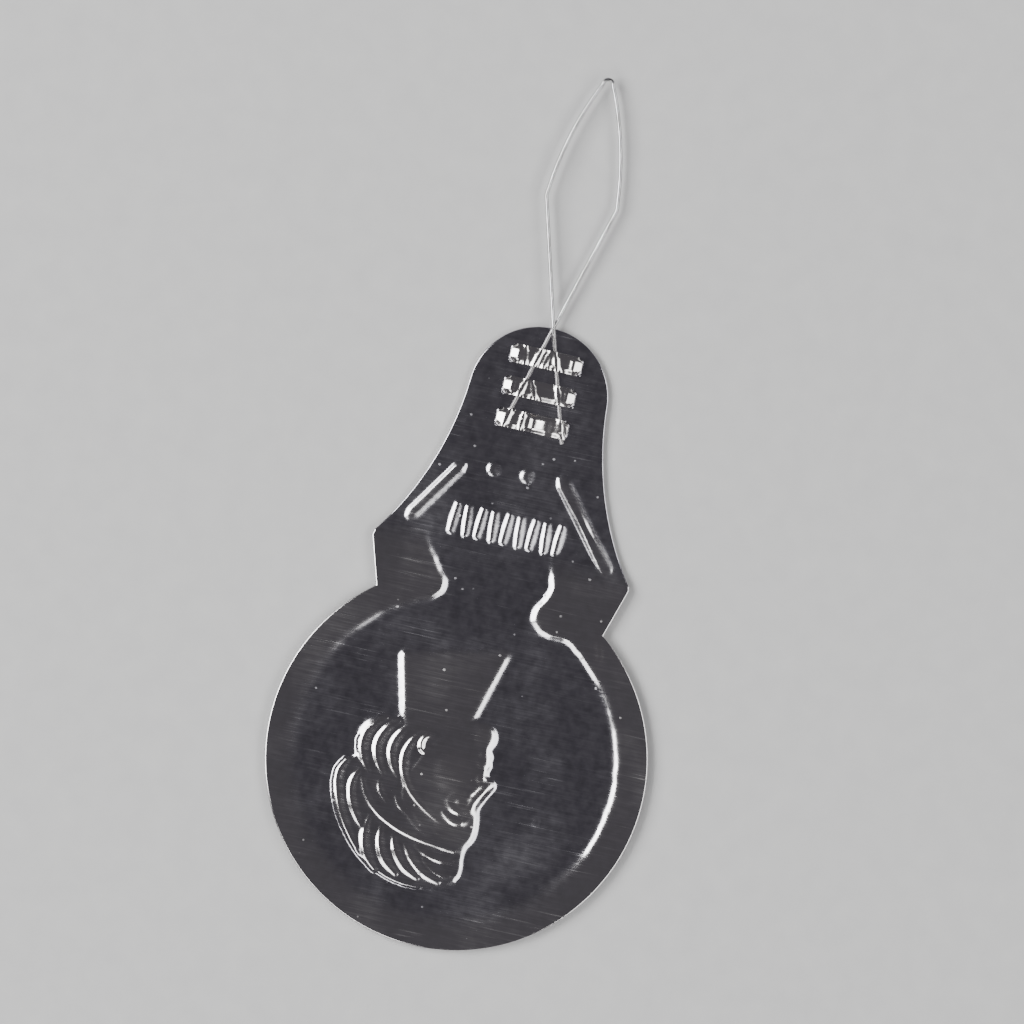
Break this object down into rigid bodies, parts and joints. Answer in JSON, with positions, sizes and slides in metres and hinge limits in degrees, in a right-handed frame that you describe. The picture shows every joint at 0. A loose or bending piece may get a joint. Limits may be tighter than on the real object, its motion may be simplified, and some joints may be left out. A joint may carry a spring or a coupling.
{
  "type": "needle threader",
  "caption": "Wire needle threader: a stamped tinplate finger disc and neck, whose lanced straps grip the ends of a thin spring-wire diamond.",
  "frame": {"origin": "centre of the finger disc, on the plane that the handle's flat central field lies on", "axes": "+Y from the disc along the neck to the wire's tip, +Z out of the embossed face, +X to the right with the wire pointing away"},
  "size_m": [0.0164, 0.0382, 0.0007],
  "materials": {
    "tinplate": "bright tinplate with a fine rolling grain across the neck, brighter on the high spots of the stamping",
    "spring_wire": "bright drawn spring steel"
  },
  "bodies": {
    "handle": {"handle": "tinplate", "wire_ends": "spring_wire"},
    "loop": {"wire_loop": "spring_wire"}
  },
  "joints": [
    {"name": "loop_flex", "type": "hinge", "parent": "handle", "child": "loop", "pos_m": [0, 0.019, 0.00042], "axis": [0, 0, 1], "range_deg": [-25, 25], "stiffness_Nm_per_rad": 0.002}
  ]
}
